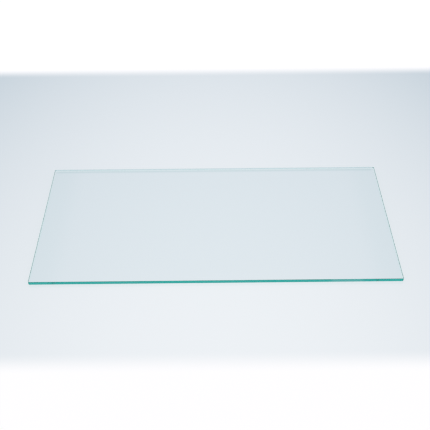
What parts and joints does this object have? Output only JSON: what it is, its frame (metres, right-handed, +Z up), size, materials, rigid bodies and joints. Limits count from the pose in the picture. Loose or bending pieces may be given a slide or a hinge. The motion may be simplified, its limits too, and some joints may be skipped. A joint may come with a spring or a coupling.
{
  "type": "glass shelf",
  "caption": "Flat rectangular pane of clear toughened glass with ground teal-green edges and rounded corners, a shelf that lies on ledges inside a refrigerator.",
  "frame": {"origin": "middle of the underside, on the surface that the pane lies on", "axes": "+X along the front edge to the right, +Y from the front edge to the back edge, +Z up through the thickness"},
  "size_m": [0.425, 0.219, 0.004],
  "materials": {
    "float_glass": "clear float glass, polished faces, ground teal-green edges"
  },
  "bodies": {
    "root": {"glass_pane": "float_glass"}
  },
  "joints": []
}
